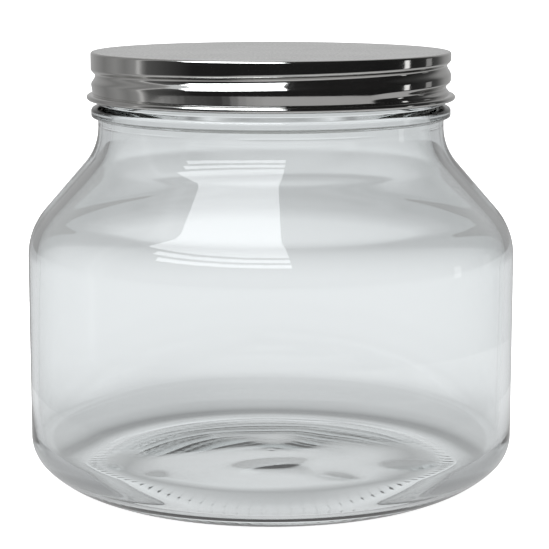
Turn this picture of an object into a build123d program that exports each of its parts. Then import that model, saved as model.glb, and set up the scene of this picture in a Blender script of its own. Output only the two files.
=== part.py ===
from build123d import *
import os
from math import cos, hypot, radians, sin, tan

os.makedirs("parts", exist_ok=True)

# Squat wide-mouth glass jar with a one-piece screw lid, in millimetres.
# Z is the jar's axis, and z = 0 is the plane that the jar stands on.

# Glass jar, outside
body_radius = 61.5
neck_radius = 43.5
shoulder_top = 85.3       # height where the neck line meets the shoulder cone
shoulder_angle = 41.0     # the cone's slope, from the axis
shoulder_round = 17.0     # convex round between the cone and the body
neck_round = 14.8         # concave round between the cone and the neck
heel_round = 8.46         # the heel's upper arc, from upright
heel_turn = 45.0
underside_round = 23.25   # the heel's lower arc, which goes on to the bearing ring
underside_turn = 30.0
bearing_width = 3.2       # the flat ring that the jar stands on
push_up = 3.1             # rise of the underside, which is level in the middle
push_up_radius = 24.0

# Glass jar, inside
body_wall = 3.1
shoulder_wall = 3.4
mouth_radius = 40.2
floor_radius = 48.0       # where the floor meets the inner heel
floor_edge = 3.9          # the floor's height there
floor_centre = 6.4
floor_centre_radius = 26.0
inner_heel_round = 9.0
inner_heel_corner = 7.9   # height where the floor's outer slope would reach the wall

# Neck finish
rim_height = 108.0
rim_chamfer = 0.6
finish_radius = 43.0
bead_radius = 45.2
bead_low = 92.6
bead_high = 96.2
bead_edge = 1.0           # height of each sloping side of the bead

# Screw thread: right-hand, five turns to the inch
lead = 5.08
jar_thread_crest = 44.45
jar_thread_flat = 0.45    # half the width of the crest
jar_thread_root = 1.4     # half the width at its root
jar_thread_sunk = 0.4     # the root lies this far inside the finish
jar_thread_start = -540.0
jar_thread_turn = 390.0

# Lid
sheet = 0.3
lid_top = 109.3
lid_bottom = 97.3
lid_radius = 45.2
lid_edge_round = 1.0
curl_round = 0.8
curl_radius = 46.3
groove_depth = 1.05
groove_flat = 0.45        # half the width of the rolled groove's bottom
groove_mouth = 1.3        # half its width at the skirt
groove_start = -380.0
groove_turn = 400.0
groove_overrun = 0.9      # the ridge inside covers the groove's ends by this angle
groove_height_at_x = 105.84   # groove centre where it crosses the +X side near the top
thread_offset = 2.15      # the glass thread rides this far above the lid's groove

# Liner
liner_thickness = lid_top - sheet - rim_height
liner_radius = 43.9
liner_edge_round = 0.2

shoulder_slope = radians(shoulder_angle)
shoulder_bottom = shoulder_top - (body_radius - neck_radius) / tan(shoulder_slope)
heel_middle = radians(heel_turn)
heel_end = radians(heel_turn + underside_turn)
heel_height = heel_round * sin(heel_middle) + underside_round * (sin(heel_end) - sin(heel_middle))
bearing_outer = (body_radius - heel_round * (1 - cos(heel_middle))
                 - underside_round * (cos(heel_middle) - cos(heel_end)))
bearing_inner = bearing_outer - bearing_width


def groove_height(angle):
    """Height of the lid's groove centre at an angle in degrees about the axis."""
    return groove_height_at_x + lead * angle / 360


def inner_cone_height(radius):
    """Height of the shoulder's inner face where it reaches a radius."""
    across = (radius - neck_radius) * cos(shoulder_slope)
    return shoulder_top - (shoulder_wall + across) / sin(shoulder_slope)


def turned_plane(angle, height):
    """Level plane at a height, with its x axis turned to the angle."""
    turn = radians(angle)
    return Plane(origin=(0, 0, height), x_dir=(cos(turn), sin(turn), 0), z_dir=(0, 0, 1))


def flat_thread(turn, root_radius, root_half, crest_radius, crest_half):
    """Thread with flat flanks, along a helix that starts on the +X side at z = 0."""
    with BuildPart() as thread:
        with BuildLine() as path:
            Helix(pitch=lead, height=lead * turn / 360, radius=root_radius)
        with BuildSketch(Plane.XZ):
            Polygon((root_radius, -root_half), (crest_radius, -crest_half),
                    (crest_radius, crest_half), (root_radius, root_half), align=None)
        sweep(path=path.line, is_frenet=True)
    return thread.part


def groove_thread(turn, allowance):
    """The lid's groove as a solid, grown by an allowance across its flanks and its bottom."""
    slope = (groove_mouth - groove_flat) / groove_depth
    bottom_radius = lid_radius - groove_depth - allowance
    outside_radius = lid_radius + sheet
    bottom_half = groove_flat + allowance * (hypot(1, slope) - slope)
    outside_half = bottom_half + slope * (outside_radius - bottom_radius)
    return flat_thread(turn, outside_radius, outside_half, bottom_radius, bottom_half)


# Glass jar: one closed profile turned about the axis, with the thread fused on
inner_body = body_radius - body_wall
with BuildPart() as glass_jar:
    with BuildSketch(Plane.XZ):
        with BuildLine():
            FilletPolyline((floor_radius, floor_edge), (inner_body, inner_heel_corner),
                           (inner_body, inner_cone_height(inner_body)),
                           (mouth_radius, inner_cone_height(mouth_radius)),
                           (mouth_radius, rim_height - rim_chamfer),
                           radius=(inner_heel_round, shoulder_round - shoulder_wall,
                                   neck_round + shoulder_wall))
            Polyline((mouth_radius, rim_height - rim_chamfer),
                     (mouth_radius + rim_chamfer, rim_height),
                     (finish_radius - rim_chamfer, rim_height),
                     (finish_radius, rim_height - rim_chamfer),
                     (finish_radius, bead_high),
                     (bead_radius, bead_high - bead_edge),
                     (bead_radius, bead_low + bead_edge),
                     (neck_radius, bead_low))
            FilletPolyline((neck_radius, bead_low), (neck_radius, shoulder_top),
                           (body_radius, shoulder_bottom), (body_radius, heel_height),
                           radius=(neck_round, shoulder_round))
            heel = JernArc((body_radius, heel_height), (0, -1), heel_round, -heel_turn)
            underside = JernArc(heel @ 1, heel % 1, underside_round, -underside_turn)
            Polyline(underside @ 1, (bearing_inner, 0), (push_up_radius, push_up),
                     (0, push_up), (0, floor_centre), (floor_centre_radius, floor_centre),
                     (floor_radius, floor_edge))
        make_face()
    revolve(axis=Axis.Z)
    with Locations(turned_plane(jar_thread_start, groove_height(jar_thread_start) + thread_offset)):
        add(flat_thread(jar_thread_turn, finish_radius - jar_thread_sunk, jar_thread_root,
                        jar_thread_crest, jar_thread_flat))
glass_jar.part.label = "glass_jar"
export_step(glass_jar.part, "parts/glass_jar.step")


# Lid shell: pressed sheet with a rolled thread groove and an outward curl at its bottom edge
with BuildPart() as lid_cavity:
    with BuildSketch(Plane.XZ):
        with BuildLine():
            Polyline((0, lid_bottom - sheet), (lid_radius - sheet, lid_bottom - sheet),
                     (lid_radius - sheet, lid_top - lid_edge_round))
            CenterArc((lid_radius - lid_edge_round, lid_top - lid_edge_round),
                      lid_edge_round - sheet, 0, 90)
            Polyline((lid_radius - lid_edge_round, lid_top - sheet), (0, lid_top - sheet),
                     (0, lid_bottom - sheet))
        make_face()
    revolve(axis=Axis.Z)
    ridge_start = groove_start - groove_overrun
    with Locations(turned_plane(ridge_start, groove_height(ridge_start))):
        add(groove_thread(groove_turn + 2 * groove_overrun, sheet), mode=Mode.SUBTRACT)

with BuildPart() as lid_shell:
    with BuildSketch(Plane.XZ):
        with BuildLine():
            Polyline((0, lid_bottom), (curl_radius - curl_round, lid_bottom))
            CenterArc((curl_radius - curl_round, lid_bottom + curl_round), curl_round, 270, 180)
            Polyline((curl_radius - curl_round, lid_bottom + 2 * curl_round),
                     (lid_radius, lid_bottom + 2 * curl_round),
                     (lid_radius, lid_top - lid_edge_round))
            CenterArc((lid_radius - lid_edge_round, lid_top - lid_edge_round),
                      lid_edge_round, 0, 90)
            Polyline((lid_radius - lid_edge_round, lid_top), (0, lid_top), (0, lid_bottom))
        make_face()
    revolve(axis=Axis.Z)
    with Locations(turned_plane(groove_start, groove_height(groove_start))):
        add(groove_thread(groove_turn, 0), mode=Mode.SUBTRACT)
    add(lid_cavity.part, mode=Mode.SUBTRACT)
lid_shell.part.label = "lid_shell"
export_step(lid_shell.part, "parts/lid_shell.step")


# Liner: soft disc between the lid's panel and the glass rim
with BuildPart() as lid_liner:
    with BuildSketch(Plane.XY.offset(rim_height)):
        Circle(liner_radius)
    extrude(amount=liner_thickness)
    fillet(lid_liner.edges(), liner_edge_round)
lid_liner.part.label = "lid_liner"
export_step(lid_liner.part, "parts/lid_liner.step")
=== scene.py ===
from math import atan2, cos, hypot, pi, radians, sin, sqrt, tan

import bpy
import numpy as np
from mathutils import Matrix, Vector

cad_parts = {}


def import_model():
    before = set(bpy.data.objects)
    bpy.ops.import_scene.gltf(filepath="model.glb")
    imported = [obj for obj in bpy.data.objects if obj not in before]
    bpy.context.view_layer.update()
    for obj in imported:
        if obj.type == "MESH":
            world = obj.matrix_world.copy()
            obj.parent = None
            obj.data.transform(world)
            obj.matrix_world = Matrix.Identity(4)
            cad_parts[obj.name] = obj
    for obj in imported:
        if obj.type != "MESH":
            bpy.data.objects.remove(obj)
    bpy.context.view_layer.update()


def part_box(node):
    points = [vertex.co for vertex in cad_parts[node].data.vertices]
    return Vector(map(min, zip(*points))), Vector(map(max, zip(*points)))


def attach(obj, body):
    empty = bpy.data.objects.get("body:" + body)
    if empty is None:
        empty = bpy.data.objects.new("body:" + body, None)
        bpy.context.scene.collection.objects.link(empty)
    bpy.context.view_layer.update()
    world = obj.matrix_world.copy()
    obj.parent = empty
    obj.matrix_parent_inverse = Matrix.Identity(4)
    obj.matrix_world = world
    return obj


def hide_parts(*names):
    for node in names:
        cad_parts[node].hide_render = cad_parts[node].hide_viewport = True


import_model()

# A squat clear glass jar with a polished metal screw lid. Lengths are in metres and angles in degrees.
# Every piece is turned about the jar's axis, so an outline is a list of (radius, height) points.

jar_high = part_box("glass_jar")[1]
lid_low, lid_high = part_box("lid_shell")
liner_low, liner_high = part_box("lid_liner")

SEGMENTS = 768            # points round each ring
# How far apart the points of an outline are, about, where it is straight
WALL_GAP, FINISH_GAP, BEAD_GAP, NECK_GAP, SKIRT_GAP = 0.0015, 0.00018, 0.0002, 0.0001, 0.00016

# Glass, outside
BODY_RADIUS = float(jar_high[0])
RIM_HEIGHT = float(jar_high[2])
NECK_RADIUS = 0.0435
SHOULDER_TOP = 0.0853
SHOULDER_ANGLE = 41.0
SHOULDER_ROUND = 0.0170
NECK_ROUND = 0.0148
HEEL_ROUND, HEEL_TURN = 0.00846, 45.0
UNDERSIDE_ROUND, UNDERSIDE_TURN = 0.02325, 30.0
BEARING_WIDTH = 0.0032
PUSH_UP = 0.0031
FINISH_RADIUS = 0.0430
RIM_ROUND = 0.0008
BEAD_RADIUS = 0.0452
BEAD_LOW, BEAD_LOW_SLOPE, BEAD_LOW_ROUND = 0.0926, 0.0006, 0.0005
BEAD_HIGH, BEAD_HIGH_SLOPE, BEAD_HIGH_ROUND = 0.0962, 0.0010, 0.0009
NECK_FOOT = 0.0909        # just above the start of the neck's round
NECK_ROUND_CUT = 0.0001   # keeps that start below the neck's foot
PARTING_HEIGHT, PARTING_PROUD, PARTING_WIDTH = 0.0911, 0.00003, 0.00016
SEAM_PROUD, SEAM_WIDTH = 0.00005, 0.0007
KNURL_COUNT = 96
KNURL_RADIUS, KNURL_REACH, KNURL_DEPTH = 0.0458, 0.0017, 0.00015

HEEL_MIDDLE, HEEL_END = radians(HEEL_TURN), radians(HEEL_TURN + UNDERSIDE_TURN)
HEEL_HEIGHT = HEEL_ROUND * sin(HEEL_MIDDLE) + UNDERSIDE_ROUND * (sin(HEEL_END) - sin(HEEL_MIDDLE))
BEARING_OUTER = (BODY_RADIUS - HEEL_ROUND * (1 - cos(HEEL_MIDDLE))
                 - UNDERSIDE_ROUND * (cos(HEEL_MIDDLE) - cos(HEEL_END)))
BEARING_INNER = BEARING_OUTER - BEARING_WIDTH

# Glass, inside
BODY_WALL = 0.0031
SHOULDER_WALL = 0.0034
MOUTH_RADIUS = 0.0402
FLOOR_RADIUS = 0.0480
FLOOR_EDGE = 0.0039
FLOOR_CENTRE = 0.0064
INNER_HEEL_TOP = 0.0139
FLOOR_WAVE_HEIGHT, FLOOR_WAVE_LENGTH = 0.00034, 0.024
WALL_WAVE_HEIGHT, WALL_WAVE_LENGTH = 0.00012, 0.035
DRIFT = 0.006             # how far the floor's waves are pushed about

# Screw thread, shared by the glass and the lid
LEAD = 0.00508
GROOVE_HEIGHT_AT_X = 0.10584
GROOVE_FIRST, GROOVE_LAST, GROOVE_FADE = -420.0, 30.0, 40.0
GROOVE_DEPTH = 0.00105
GROOVE_ABOVE, GROOVE_BELOW = 0.0016, 0.0023
THREAD_OFFSET = 0.00215
THREAD_FIRST, THREAD_LAST, THREAD_FADE = -540.0, -150.0, 14.0
THREAD_ROUND = 0.00122
THREAD_CREST = 0.04445

# Lid
SHEET = 0.0003
LID_RADIUS = 0.0452
LID_TOP = float(lid_high[2])
LID_BOTTOM = float(lid_low[2])
LID_EDGE_ROUND = 0.0006
CURL_RADIUS = float(lid_high[0])
CURL_ROUND = 0.0007
CURL_START, CURL_END = 82.0, -205.0
WAIST_HEIGHT = LID_BOTTOM + 0.00152
WAIST_DEPTH = 0.00042
WAIST_CORNER = 0.00005    # a ring this close above the waist keeps its corner sharp
BULGE_HEIGHT = LID_BOTTOM + 0.0042
BULGE_SOFTNESS = 0.02

# Liner
LINER_EDGE_ROUND = 0.0002

# What the stage shows. Azimuth 0 is the camera's side, and grows to its right.
CAMERA_PLACE = (0.0009, -0.5043, 0.1370)
CAMERA_DOWN = 9.535
CAMERA_LENS = 131.1
# The room in reflections: (azimuth, grey level)
ROOM_LEVELS = [(-180, 0.50), (-150, 0.34), (-130, 0.22), (-115, 0.30), (-104, 0.22), (-94, 0.30),
               (-91, 0.62), (-88, 0.24), (-84, 0.10), (-66, 0.05), (-50, 0.015), (97, 0.012),
               (121, 0.04), (130, 0.08), (144, 0.30), (180, 0.50)]
ROOM_THROUGH_GLASS = (0.64, 0.67, 0.69, 1)
# The table through the glass, with painted shadow rings under and close around the jar and painted shade
# that greys it far off: (distance from the axis, grey level)
TABLE_PAINTED_SHADE_LEVELS = [(0.0, 0.86), (0.030, 0.80), (0.036, 0.42), (0.041, 0.46), (0.045, 0.95), (0.049, 0.92),
                (0.052, 0.66), (0.056, 0.36), (0.061, 0.32), (0.068, 0.54), (0.085, 0.62), (0.10, 0.70),
                (0.13, 0.88), (0.16, 0.93), (0.35, 0.93), (0.55, 0.80), (0.80, 0.66), (1.2, 0.60)]
TABLE_TINT = (0.965, 0.985, 1.0, 1)
# The table as a painted reflection in the metal, with painted light and shade by azimuth: azimuths, and
# the grey level at each
METAL_TABLE_REFLECTION_PAINTED_LIGHT = ((-100, -75, -55, -32, -18, -5), (0.34, 0.30, 0.09, 0.05, 0.34, 0.42))
WHITE = (1.0, 1.0, 1.0)
DAYLIGHT = (0.95, 0.98, 1.0)


# ---------------------------------------------------------------- outlines

def arc(centre, radii, start, stop, steps):
    """Points along an elliptical arc. Angles are from the outward direction, towards up."""
    return [(centre[0] + radii[0] * cos(a), centre[1] + radii[1] * sin(a))
            for a in np.radians(np.linspace(start, stop, steps + 1))]


def rounded(corners, steps=14):
    """Outline through corners (radius, height, round): each inner corner becomes an arc."""
    outline = [corners[0][:2]]
    for before, (r, z, size), after in zip(corners, corners[1:], corners[2:]):
        corner = Vector((r, z))
        back = (Vector(before[:2]) - corner).normalized()
        ahead = (Vector(after[:2]) - corner).normalized()
        half = back.angle(ahead) / 2
        centre = corner + (back + ahead).normalized() * size / sin(half)
        first = corner + back * size / tan(half) - centre
        last = corner + ahead * size / tan(half) - centre
        turn = first.angle_signed(last)
        start = atan2(first.y, first.x)
        for k in range(steps + 1):
            angle = start - turn * k / steps
            outline.append((centre.x + size * cos(angle), centre.y + size * sin(angle)))
    return outline + [corners[-1][:2]]


def arc_through(a, b, c, steps):
    """Points on the circle through three points, from a to c."""
    a, b, c = Vector(a), Vector(b), Vector(c)
    d = 2 * (a.x * (b.y - c.y) + b.x * (c.y - a.y) + c.x * (a.y - b.y))
    x = (a.length_squared * (b.y - c.y) + b.length_squared * (c.y - a.y)
         + c.length_squared * (a.y - b.y)) / d
    y = (a.length_squared * (c.x - b.x) + b.length_squared * (a.x - c.x)
         + c.length_squared * (b.x - a.x)) / d
    first, middle, last = (point - Vector((x, y)) for point in (a, b, c))
    start = atan2(first.y, first.x)
    turn = -first.angle_signed(middle) - middle.angle_signed(last)
    return [(x + first.length * cos(start + turn * k / steps),
             y + first.length * sin(start + turn * k / steps)) for k in range(steps + 1)]


def filled(outline, gap):
    """The outline with points added, so that they are about a gap apart where they were further."""
    points = [outline[0]]
    for a, b in zip(outline, outline[1:]):
        distance = hypot(b[0] - a[0], b[1] - a[1])
        if distance < 1e-7:
            continue
        count = max(1, round(distance / gap))
        points += [(a[0] + (b[0] - a[0]) * k / count, a[1] + (b[1] - a[1]) * k / count)
                   for k in range(1, count + 1)]
    return points


# ---------------------------------------------------------------- meshes

def lathe(name, outline, shape=None):
    """A closed piece turned about the axis. The outline runs from axis to axis, down its outer side.
    shape takes the radius, height and angle of every point and returns the radius and height."""
    r, z = np.array(outline).T
    turns = np.linspace(0, 2 * pi, SEGMENTS, endpoint=False)
    radius = np.repeat(r[1:-1, None], SEGMENTS, 1)
    height = np.repeat(z[1:-1, None], SEGMENTS, 1)
    angle = np.repeat(turns[None, :], len(radius), 0)
    if shape:
        radius, height = shape(radius, height, angle)
    rings = np.stack([radius * np.cos(angle), radius * np.sin(angle), height], -1).reshape(-1, 3)
    points = np.vstack([rings, (0, 0, z[0]), (0, 0, z[-1])])
    column = np.arange(SEGMENTS)
    beside = (column + 1) % SEGMENTS
    row = SEGMENTS * np.arange(len(radius) - 1)[:, None]
    quads = np.stack([row + column, row + column + SEGMENTS,
                      row + beside + SEGMENTS, row + beside], -1).reshape(-1, 4)
    first, last = len(rings), SEGMENTS * (len(radius) - 1)
    fans = [(first, a, b) for a, b in zip(column.tolist(), beside.tolist())]
    fans += [(last + a, first + 1, last + b) for a, b in zip(column.tolist(), beside.tolist())]
    mesh = bpy.data.meshes.new(name)
    mesh.from_pydata(points.tolist(), [], quads.tolist() + fans)
    mesh.validate()
    mesh.shade_smooth()
    piece = bpy.data.objects.new(name, mesh)
    bpy.context.scene.collection.objects.link(piece)
    return piece


def near(value, centre, width):
    """A smooth bump, 1 at the centre."""
    return np.exp(-((value - centre) / width) ** 2)


def smooth(value):
    """0 below 0 and 1 above 1, with an even slope between."""
    t = np.clip(value, 0, 1)
    return t * t * (3 - 2 * t)


def ripples(x, y, z, size, seed, count=14):
    """A sum of plane waves in every direction, about -1 to 1. size is the distance between crests."""
    rng = np.random.default_rng(seed)
    total = np.zeros_like(x)
    for _ in range(count):
        direction = rng.normal(size=3)
        direction /= np.linalg.norm(direction)
        wave = 2 * pi / (size * rng.uniform(0.7, 1.6))
        total += np.sin(wave * (x * direction[0] + y * direction[1] + z * direction[2])
                        + rng.uniform(0, 2 * pi))
    return total / sqrt(count)


def along_helix(height, angle, first, last, offset, fade):
    """For each turn of the thread that passes a point: the height above its centre, and its strength,
    which fades in over the first degrees and out over the last ones."""
    for turn in range(-3, 2):
        run = np.degrees(angle) + 360 * turn
        strength = smooth((run - first) / fade) * smooth((last - run) / fade)
        yield height - (GROOVE_HEIGHT_AT_X + offset + LEAD * run / 360), strength


def jar_outlines():
    """The inner outline from the floor's centre to the rim, and the outer one from there to the base."""
    slope = radians(SHOULDER_ANGLE)
    inner_body = BODY_RADIUS - BODY_WALL

    def inner_cone(radius):
        return SHOULDER_TOP - (SHOULDER_WALL + (radius - NECK_RADIUS) * cos(slope)) / sin(slope)

    dome = arc_through((0, FLOOR_CENTRE), (FLOOR_RADIUS * 0.7, FLOOR_CENTRE * 0.51 + FLOOR_EDGE * 0.49),
                       (FLOOR_RADIUS, FLOOR_EDGE), 60)
    inner_heel = arc((FLOOR_RADIUS, INNER_HEEL_TOP),
                     (inner_body - FLOOR_RADIUS, INNER_HEEL_TOP - FLOOR_EDGE), -90, 0, 30)
    inner = dome + inner_heel[1:] + filled(rounded([
        (inner_body, INNER_HEEL_TOP, 0),
        (inner_body, inner_cone(inner_body), SHOULDER_ROUND - SHOULDER_WALL),
        (MOUTH_RADIUS, inner_cone(MOUTH_RADIUS), NECK_ROUND + SHOULDER_WALL),
        (MOUTH_RADIUS, RIM_HEIGHT, RIM_ROUND),
        ((MOUTH_RADIUS + FINISH_RADIUS) / 2, RIM_HEIGHT, 0)]), WALL_GAP)[1:]
    finish = filled(rounded([
        ((MOUTH_RADIUS + FINISH_RADIUS) / 2, RIM_HEIGHT, 0),
        (FINISH_RADIUS, RIM_HEIGHT, RIM_ROUND), (FINISH_RADIUS, BEAD_HIGH, 0)]), FINISH_GAP)
    bead = filled(rounded([
        (FINISH_RADIUS, BEAD_HIGH, 0), (BEAD_RADIUS, BEAD_HIGH - BEAD_HIGH_SLOPE, BEAD_HIGH_ROUND),
        (BEAD_RADIUS, BEAD_LOW + BEAD_LOW_SLOPE, BEAD_LOW_ROUND), (NECK_RADIUS, BEAD_LOW, 0)]), BEAD_GAP)
    neck = filled([(NECK_RADIUS, BEAD_LOW), (NECK_RADIUS, NECK_FOOT)], NECK_GAP)
    body = filled(rounded([
        (NECK_RADIUS, NECK_FOOT, 0),
        (NECK_RADIUS, SHOULDER_TOP, NECK_ROUND - NECK_ROUND_CUT),
        (BODY_RADIUS, SHOULDER_TOP - (BODY_RADIUS - NECK_RADIUS) / tan(slope), SHOULDER_ROUND),
        (BODY_RADIUS, HEEL_HEIGHT, 0)]), WALL_GAP)
    heel_centre = (BODY_RADIUS - HEEL_ROUND, HEEL_HEIGHT)
    apart = UNDERSIDE_ROUND - HEEL_ROUND
    underside_centre = (heel_centre[0] - apart * cos(HEEL_MIDDLE), HEEL_HEIGHT + apart * sin(HEEL_MIDDLE))
    heel = arc(heel_centre, (HEEL_ROUND, HEEL_ROUND), 0, -HEEL_TURN, 20)
    underside = arc(underside_centre, (UNDERSIDE_ROUND, UNDERSIDE_ROUND),
                    -HEEL_TURN, -HEEL_TURN - UNDERSIDE_TURN, 50)
    ring = filled([(BEARING_OUTER, 0), (BEARING_INNER, 0)], BEAD_GAP)
    under = [(BEARING_INNER * k / 40, PUSH_UP * (1 - (k / 40) ** 2)) for k in range(39, -1, -1)]
    outer = finish + bead[1:] + neck[1:] + body[1:] + heel[1:] + underside[1:] + ring[1:] + under
    return inner, outer


def glass_jar():
    inner, outer = jar_outlines()
    inside_rows = len(inner) - 1

    def shape(radius, height, angle):
        x, y = radius * np.cos(angle), radius * np.sin(angle)
        inside = np.zeros_like(radius)
        inside[:inside_rows] = 1
        # thread on the finish
        proud = np.zeros_like(radius)
        for above, strength in along_helix(height, angle, THREAD_FIRST, THREAD_LAST,
                                           THREAD_OFFSET, THREAD_FADE):
            tube = THREAD_ROUND * np.sqrt(np.clip(1 - (above / (1.1 * THREAD_ROUND)) ** 2, 0, 1))
            proud = np.maximum(proud, (THREAD_CREST - FINISH_RADIUS) * strength * tube / THREAD_ROUND)
        on_finish = (1 - inside) * smooth((height - BEAD_HIGH) / 0.0008) * (radius > MOUTH_RADIUS + 0.002)
        radius = radius + proud * on_finish
        # mould lines: a ring on the neck, and one up each side
        broken = smooth(0.5 + ripples(x, y, 0 * x, 0.030, 2))
        ring = near(height, PARTING_HEIGHT, PARTING_WIDTH)
        radius = radius + (1 - inside) * PARTING_PROUD * broken * ring
        side = np.abs(np.sin(angle)) * radius
        upright = smooth((height - 0.005) / 0.01) * smooth((BEAD_LOW - height) / 0.002)
        radius = radius + (1 - inside) * upright * SEAM_PROUD * near(side, 0, SEAM_WIDTH)
        # knurl on the bearing ring
        pitch = 2 * pi / KNURL_COUNT
        across = (angle % pitch) / pitch - 0.5
        outward = (radius - KNURL_RADIUS) / KNURL_REACH
        crescent = near(across, 0.16 * outward ** 2 - 0.05, 0.17) * smooth(1.6 - np.abs(outward) * 1.3)
        worn = 0.2 + 0.8 * smooth((0.015 - y) / 0.030)
        height = height + (1 - inside) * (height < HEEL_HEIGHT / 2) * KNURL_DEPTH * worn * crescent
        # the inner surface is blown, not pressed, so its thickness wanders
        drift_x = x + DRIFT * ripples(x, y, height, 0.045, 3)
        drift_y = y + DRIFT * ripples(x, y, height, 0.050, 4)
        floor = inside * (height < 0.03) * smooth((0.0475 - radius) / 0.006)
        wavy = 0.25 + 0.75 * smooth((0.012 - y) / 0.030)
        waves = ripples(drift_x, drift_y, 0 * x, FLOOR_WAVE_LENGTH, 5)
        height = height + floor * FLOOR_WAVE_HEIGHT * wavy * waves
        wall = inside * smooth((height - 0.011) / 0.01) * smooth((0.087 - height) / 0.01)
        radius = radius + wall * WALL_WAVE_HEIGHT * ripples(x, y, height * 0.35, WALL_WAVE_LENGTH, 6)
        return radius, height

    piece = lathe("jar_glass", inner + outer[1:], shape)
    piece.data.materials.append(glass_material())
    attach(piece, "jar")
    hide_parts("glass_jar")


def skirt_swell(height):
    """How far the skirt stands out of its straight line: below its bulge it draws in to the waist."""
    below = (BULGE_HEIGHT - height) / (BULGE_HEIGHT - WAIST_HEIGHT)
    return -WAIST_DEPTH * (below + np.sqrt(below ** 2 + BULGE_SOFTNESS)) / 2


def lid_shell():
    curl_centre = (CURL_RADIUS - CURL_ROUND, LID_BOTTOM + CURL_ROUND)
    top = [(LID_RADIUS * k / 30, LID_TOP) for k in range(30)]
    top = [p for p in top if p[0] < LID_RADIUS - LID_EDGE_ROUND - 0.0004]
    edge = arc((LID_RADIUS - LID_EDGE_ROUND, LID_TOP - LID_EDGE_ROUND),
               (LID_EDGE_ROUND, LID_EDGE_ROUND), 90, 0, 14)
    skirt = filled([(LID_RADIUS, LID_TOP - LID_EDGE_ROUND), (LID_RADIUS, WAIST_HEIGHT + WAIST_CORNER)],
                   SKIRT_GAP)
    skirt.append((LID_RADIUS, WAIST_HEIGHT))
    curl = arc(curl_centre, (CURL_ROUND, CURL_ROUND), CURL_START, CURL_END, 36)
    flare = filled([(LID_RADIUS - WAIST_DEPTH, WAIST_HEIGHT), curl[0]], SKIRT_GAP)
    inner_radius = LID_RADIUS - SHEET
    inside = filled([(inner_radius, WAIST_HEIGHT), (inner_radius, LID_TOP - LID_EDGE_ROUND)], SKIRT_GAP)
    inner_edge = arc((LID_RADIUS - LID_EDGE_ROUND, LID_TOP - LID_EDGE_ROUND),
                     (LID_EDGE_ROUND - SHEET, LID_EDGE_ROUND - SHEET), 0, 90, 8)
    under = [(r, LID_TOP - SHEET) for r, _ in reversed(top)]
    outline = top + edge + skirt[1:] + flare[1:] + curl[1:] + inside + inner_edge[1:] + under

    def shape(radius, height, angle):
        on_skirt = (height > WAIST_HEIGHT - 1e-6) * (radius > inner_radius - 1e-5)
        on_skirt = on_skirt * smooth((LID_TOP - LID_EDGE_ROUND - height) / 0.0004)
        sunk = np.zeros_like(radius)
        for above, strength in along_helix(height, angle, GROOVE_FIRST, GROOVE_LAST, 0, GROOVE_FADE):
            reach = np.where(above > 0, GROOVE_ABOVE, GROOVE_BELOW)
            flank = np.cos(pi / 2 * np.clip(above / reach, -1, 1)) ** 2
            sunk = np.maximum(sunk, strength * flank)
        groove = GROOVE_DEPTH * sunk * smooth((height - WAIST_HEIGHT) / 0.0012)
        return radius + on_skirt * (skirt_swell(height) - groove), height

    piece = lathe("lid_metal", outline, shape)
    piece.data.materials.append(polished_material())
    piece.data.materials.append(satin_material())
    satin_radius = LID_RADIUS - LID_EDGE_ROUND - 0.0001
    for face in piece.data.polygons:
        centre = face.center
        if centre.z > LID_TOP - SHEET / 2 and hypot(centre.x, centre.y) < satin_radius:
            face.material_index = 1
    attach(piece, "lid")
    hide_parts("lid_shell")


def lid_liner():
    radius, low, high = float(liner_high[0]), float(liner_low[2]), float(liner_high[2])
    outline = [(radius * k / 24, high) for k in range(23)] + rounded([
        (radius * 23 / 24, high, 0), (radius, high, LINER_EDGE_ROUND), (radius, low, LINER_EDGE_ROUND),
        (radius * 23 / 24, low, 0)], 4) + [(radius * k / 24, low) for k in range(22, -1, -1)]
    piece = lathe("lid_liner_disc", outline)
    piece.data.materials.append(liner_material())
    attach(piece, "liner")
    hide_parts("lid_liner")


# ---------------------------------------------------------------- materials

def new_material(name):
    """A node material: returns it, its Principled shader, and functions that add and link nodes."""
    material = bpy.data.materials.new(name)
    material.use_nodes = True
    tree = material.node_tree
    shader = next(n for n in tree.nodes if n.type == "BSDF_PRINCIPLED")

    def add(kind, **values):
        node = tree.nodes.new(kind)
        for key, value in values.items():
            if hasattr(node, key):
                setattr(node, key, value)
            else:
                node.inputs[key.replace("_", " ").title()].default_value = value
        return node

    return material, shader, add, tree.links.new


def glass_material():
    material, shader, add, link = new_material("clear_glass")
    shader.inputs["Base Color"].default_value = (0.985, 0.992, 0.992, 1)
    shader.inputs["Roughness"].default_value = 0.0
    shader.inputs["IOR"].default_value = 1.52
    shader.inputs["Transmission Weight"].default_value = 1.0
    place = add("ShaderNodeTexCoord")
    wander = add("ShaderNodeTexNoise", scale=38.0, detail=0.0)
    link(place.outputs["Object"], wander.inputs["Vector"])
    bump = add("ShaderNodeBump", strength=0.08, distance=0.0004)
    link(wander.outputs["Fac"], bump.inputs["Height"])
    link(bump.outputs["Normal"], shader.inputs["Normal"])
    smudge = add("ShaderNodeTexNoise", scale=60.0, detail=3.0)
    link(place.outputs["Object"], smudge.inputs["Vector"])
    rough = add("ShaderNodeMapRange")
    rough.inputs["From Min"].default_value = 0.62
    rough.inputs["From Max"].default_value = 0.8
    rough.inputs["To Max"].default_value = 0.02
    link(smudge.outputs["Fac"], rough.inputs["Value"])
    link(rough.outputs["Result"], shader.inputs["Roughness"])
    depth = add("ShaderNodeVolumeAbsorption", density=12.0)
    depth.inputs["Color"].default_value = (0.42, 0.50, 0.50, 1)
    output = next(n for n in material.node_tree.nodes if n.type == "OUTPUT_MATERIAL")
    link(depth.outputs["Volume"], output.inputs["Volume"])
    return material


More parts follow.
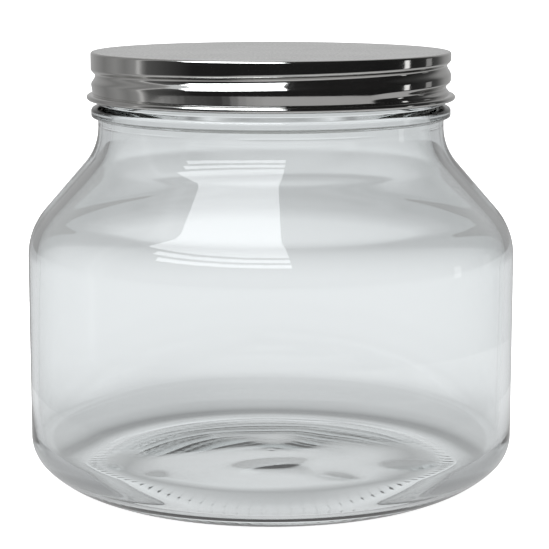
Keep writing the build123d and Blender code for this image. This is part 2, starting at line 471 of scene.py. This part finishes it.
def polished_material():
    material, shader, add, link = new_material("polished_metal")
    shader.inputs["Base Color"].default_value = (0.72, 0.715, 0.70, 1)
    shader.inputs["Metallic"].default_value = 1.0
    place = add("ShaderNodeTexCoord")
    cloud = add("ShaderNodeTexNoise", scale=160.0, detail=6.0)
    link(place.outputs["Object"], cloud.inputs["Vector"])
    rough = add("ShaderNodeMapRange")
    rough.inputs["To Min"].default_value = 0.03
    rough.inputs["To Max"].default_value = 0.13
    link(cloud.outputs["Fac"], rough.inputs["Value"])
    link(rough.outputs["Result"], shader.inputs["Roughness"])
    bump = add("ShaderNodeBump", strength=0.05, distance=0.0003)
    link(cloud.outputs["Fac"], bump.inputs["Height"])
    link(bump.outputs["Normal"], shader.inputs["Normal"])
    return material


def satin_material():
    material, shader, add, link = new_material("satin_metal")
    shader.inputs["Metallic"].default_value = 1.0
    place = add("ShaderNodeTexCoord")
    grain = add("ShaderNodeTexNoise", scale=1500.0, detail=3.0)
    patch = add("ShaderNodeTexNoise", scale=55.0, detail=4.0)
    link(place.outputs["Object"], grain.inputs["Vector"])
    link(place.outputs["Object"], patch.inputs["Vector"])
    tone = add("ShaderNodeValToRGB")
    tone.color_ramp.elements[0].position = 0.3
    tone.color_ramp.elements[0].color = (0.86, 0.86, 0.85, 1)
    tone.color_ramp.elements[1].position = 0.7
    tone.color_ramp.elements[1].color = (0.96, 0.96, 0.95, 1)
    link(patch.outputs["Fac"], tone.inputs["Fac"])
    speck = add("ShaderNodeValToRGB")
    speck.color_ramp.elements[0].position = 0.35
    speck.color_ramp.elements[0].color = (0.70, 0.70, 0.70, 1)
    speck.color_ramp.elements[1].position = 0.65
    link(grain.outputs["Fac"], speck.inputs["Fac"])
    mixed = add("ShaderNodeMix", data_type="RGBA", blend_type="MULTIPLY")
    mixed.inputs["Factor"].default_value = 1.0
    link(tone.outputs["Color"], mixed.inputs["A"])
    link(speck.outputs["Color"], mixed.inputs["B"])
    link(mixed.outputs["Result"], shader.inputs["Base Color"])
    rough = add("ShaderNodeMapRange")
    rough.inputs["To Min"].default_value = 0.26
    rough.inputs["To Max"].default_value = 0.42
    link(grain.outputs["Fac"], rough.inputs["Value"])
    link(rough.outputs["Result"], shader.inputs["Roughness"])
    bump = add("ShaderNodeBump", strength=0.25, distance=0.00005)
    link(grain.outputs["Fac"], bump.inputs["Height"])
    link(bump.outputs["Normal"], shader.inputs["Normal"])
    return material


def liner_material():
    material, shader, add, link = new_material("liner_foam")
    place = add("ShaderNodeTexCoord")
    cells = add("ShaderNodeTexVoronoi", scale=2200.0)
    link(place.outputs["Object"], cells.inputs["Vector"])
    tone = add("ShaderNodeValToRGB")
    tone.color_ramp.elements[0].color = (0.66, 0.66, 0.63, 1)
    tone.color_ramp.elements[1].color = (0.84, 0.84, 0.81, 1)
    link(cells.outputs["Distance"], tone.inputs["Fac"])
    link(tone.outputs["Color"], shader.inputs["Base Color"])
    shader.inputs["Roughness"].default_value = 0.62
    bump = add("ShaderNodeBump", strength=0.4, distance=0.0001)
    link(cells.outputs["Distance"], bump.inputs["Height"])
    link(bump.outputs["Normal"], shader.inputs["Normal"])
    return material


# ---------------------------------------------------------------- stage

def emission(name, colour, strength):
    material = bpy.data.materials.new(name)
    material.use_nodes = True
    nodes = material.node_tree.nodes
    nodes.remove(next(n for n in nodes if n.type == "BSDF_PRINCIPLED"))
    glow = nodes.new("ShaderNodeEmission")
    glow.inputs["Color"].default_value = (*colour, 1)
    glow.inputs["Strength"].default_value = strength
    output = next(n for n in nodes if n.type == "OUTPUT_MATERIAL")
    material.node_tree.links.new(glow.outputs["Emission"], output.inputs["Surface"])
    return material


def stage_mesh(name, points, faces, material, seen_by):
    """A stage piece that only the named kinds of ray can see."""
    mesh = bpy.data.meshes.new(name)
    mesh.from_pydata(points, [], faces)
    mesh.materials.append(material)
    piece = bpy.data.objects.new(name, mesh)
    bpy.context.scene.collection.objects.link(piece)
    for kind in ("camera", "diffuse", "glossy", "transmission", "shadow"):
        setattr(piece, f"visible_{kind}", kind in seen_by)


def disc(name, radius, height, material, seen_by, corners=96):
    points = [(radius * cos(2 * pi * k / corners), radius * sin(2 * pi * k / corners), height)
              for k in range(corners)]
    stage_mesh(name, points, [tuple(range(corners))], material, seen_by)


def sky_card(name, azimuths, elevations, distance, material, seen_by, steps=24):
    """A patch of the sphere around the jar, between two azimuths and two elevations."""
    middle = RIM_HEIGHT * 0.75
    points, faces = [], []
    for row in range(steps + 1):
        rise = radians(elevations[0] + (elevations[1] - elevations[0]) * row / steps)
        for col in range(steps + 1):
            turn = radians(azimuths[0] + (azimuths[1] - azimuths[0]) * col / steps)
            points.append((distance * cos(rise) * sin(turn), -distance * cos(rise) * cos(turn),
                           middle + distance * sin(rise)))
    for row in range(steps):
        for col in range(steps):
            a = row * (steps + 1) + col
            faces.append((a, a + 1, a + steps + 2, a + steps + 1))
    stage_mesh(name, points, faces, material, seen_by)


def floor():
    material, shader, add, link = new_material("pale_floor")
    shader.inputs["Roughness"].default_value = 0.9
    shader.inputs["Specular IOR Level"].default_value = 0.1
    place = add("ShaderNodeTexCoord")
    mottle = add("ShaderNodeTexNoise", scale=6.0, detail=2.0)
    link(place.outputs["Object"], mottle.inputs["Vector"])
    tone = add("ShaderNodeValToRGB")
    tone.color_ramp.elements[0].color = (0.93, 0.93, 0.93, 1)
    tone.color_ramp.elements[1].color = (0.96, 0.96, 0.96, 1)
    link(mottle.outputs["Fac"], tone.inputs["Fac"])
    link(tone.outputs["Color"], shader.inputs["Base Color"])
    shader.inputs["Emission Color"].default_value = (*WHITE, 1)
    shader.inputs["Emission Strength"].default_value = 0.85
    disc("floor", 8.0, 0.0, material, ("camera", "diffuse", "shadow"))


def ramp(tree, stops):
    """A colour ramp through grey levels at stops (value, level): its input socket and its output."""
    low, high = stops[0][0], stops[-1][0]
    node = tree.nodes.new("ShaderNodeValToRGB")
    scale = tree.nodes.new("ShaderNodeMapRange")
    scale.inputs["From Min"].default_value = low
    scale.inputs["From Max"].default_value = high
    tree.links.new(scale.outputs["Result"], node.inputs["Fac"])
    while len(node.color_ramp.elements) < len(stops):
        node.color_ramp.elements.new(0.5)
    for element, (value, level) in zip(node.color_ramp.elements, stops):
        element.position = (value - low) / (high - low)
        element.color = (level, level, level, 1)
    return scale.inputs["Value"], node.outputs["Color"]


def painted_shadow_table_floor():
    """What the glass sees of the table: a glowing disc with a painted shadow, darker under the jar and
    close around it, and painted shade that makes it greyer far off.
    """
    material = emission("table_glow", WHITE, 1.0)
    tree = material.node_tree
    place = tree.nodes.new("ShaderNodeTexCoord")
    length = tree.nodes.new("ShaderNodeVectorMath")
    length.operation = "LENGTH"
    tree.links.new(place.outputs["Object"], length.inputs[0])
    # grey level by distance from the axis: painted shadow under and around the jar, painted shade far off
    level, colour = ramp(tree, TABLE_PAINTED_SHADE_LEVELS)
    tree.links.new(length.outputs["Value"], level)
    tint = tree.nodes.new("ShaderNodeMix")
    tint.data_type = "RGBA"
    tint.blend_type = "MULTIPLY"
    tint.inputs["Factor"].default_value = 1.0
    tint.inputs["B"].default_value = TABLE_TINT
    tree.links.new(colour, tint.inputs["A"])
    glow = next(n for n in tree.nodes if n.type == "EMISSION")
    tree.links.new(tint.outputs["Result"], glow.inputs["Color"])
    disc("table_in_glass", 8.0, -0.0004, material, ("transmission",))


def painted_table_reflection():
    """A painted reflection of the table, as the metal's downward faces show it: a band of glowing cards
    round it, with painted light and shade by azimuth, and a disc under it.
    """
    for azimuth in range(-120, 150, 5):
        name = f"table_{azimuth + 120}"
        # each card's glow is painted light or shade of the table, seen only in reflections
        lit = emission(name, WHITE, float(np.interp(azimuth, *METAL_TABLE_REFLECTION_PAINTED_LIGHT)))
        sky_card(name, (azimuth, azimuth + 5), (-50, -15), 0.6, lit, ("glossy",), 6)
    # the disc under the jar is a painted reflection of the table close by
    close = emission("table_close", WHITE, 0.55)
    disc("table_close", 0.14, -0.0003, close, ("glossy",))


def world():
    """White behind the jar for the camera, even light for the floor, and a darker room in reflections."""
    scene = bpy.context.scene
    scene.world = bpy.data.worlds.new("room")
    scene.world.use_nodes = True
    tree = scene.world.node_tree
    back = next(n for n in tree.nodes if n.type == "BACKGROUND")
    path = tree.nodes.new("ShaderNodeLightPath")
    place = tree.nodes.new("ShaderNodeTexCoord")
    split = tree.nodes.new("ShaderNodeSeparateXYZ")
    tree.links.new(place.outputs["Generated"], split.inputs[0])
    forward = tree.nodes.new("ShaderNodeMath")
    forward.operation = "MULTIPLY"
    forward.inputs[1].default_value = -1.0
    tree.links.new(split.outputs["Y"], forward.inputs[0])
    azimuth = tree.nodes.new("ShaderNodeMath")
    azimuth.operation = "ARCTAN2"
    tree.links.new(split.outputs["X"], azimuth.inputs[0])
    tree.links.new(forward.outputs[0], azimuth.inputs[1])
    level, room = ramp(tree, ROOM_LEVELS)
    to_degrees = tree.nodes.new("ShaderNodeMath")
    to_degrees.operation = "DEGREES"
    tree.links.new(azimuth.outputs[0], to_degrees.inputs[0])
    tree.links.new(to_degrees.outputs[0], level)

    def choose(flag, off, on):
        mix = tree.nodes.new("ShaderNodeMix")
        mix.data_type = "RGBA"
        tree.links.new(path.outputs[flag], mix.inputs["Factor"])
        for socket, value in ((mix.inputs["A"], off), (mix.inputs["B"], on)):
            if isinstance(value, tuple):
                socket.default_value = value
            else:
                tree.links.new(value, socket)
        return mix.outputs["Result"]

    seen = choose("Is Transmission Ray", (*WHITE, 1), ROOM_THROUGH_GLASS)
    seen = choose("Is Glossy Ray", seen, room)
    seen = choose("Is Camera Ray", seen, (*WHITE, 1))
    tree.links.new(seen, back.inputs["Color"])


def window():
    """Window panes high on the left, with a faint one beside them, and two small lamps on the right."""
    glow = emission("window", DAYLIGHT, 5.0)
    for k, (left, elevations) in enumerate(((-58, (27, 32)), (-63, (35, 40)), (-73, (43, 80)))):
        sky_card(f"window_pane_{k}", (left, 10), elevations, 1.2, glow, ("glossy", "diffuse"))
    faint = emission("window_end", DAYLIGHT, 0.7)
    sky_card("window_end", (-88, -73), (43, 76), 1.2, faint, ("glossy",))
    near_lamp = emission("near_lamp", WHITE, 1.1)
    sky_card("near_lamp", (90, 94.5), (-8, 3), 0.8, near_lamp, ("glossy",))
    far_lamp = emission("far_lamp", WHITE, 0.30)
    sky_card("far_lamp", (112, 119), (-8, 3), 0.8, far_lamp, ("glossy",))


def camera():
    data = bpy.data.cameras.new("camera")
    data.sensor_width = 36
    data.lens = CAMERA_LENS
    piece = bpy.data.objects.new("camera", data)
    piece.location = CAMERA_PLACE
    piece.rotation_euler = (radians(90 - CAMERA_DOWN), 0, 0)
    bpy.context.scene.collection.objects.link(piece)
    bpy.context.scene.camera = piece


def light_paths():
    scene = bpy.context.scene
    scene.view_settings.view_transform = "Standard"
    scene.cycles.use_denoising = True
    scene.cycles.max_bounces = 24
    scene.cycles.transmission_bounces = 24
    scene.cycles.glossy_bounces = 12
    scene.cycles.sample_clamp_indirect = 4.0


camera()
light_paths()
world()
floor()
painted_shadow_table_floor()
painted_table_reflection()
window()
glass_jar()
lid_shell()
lid_liner()
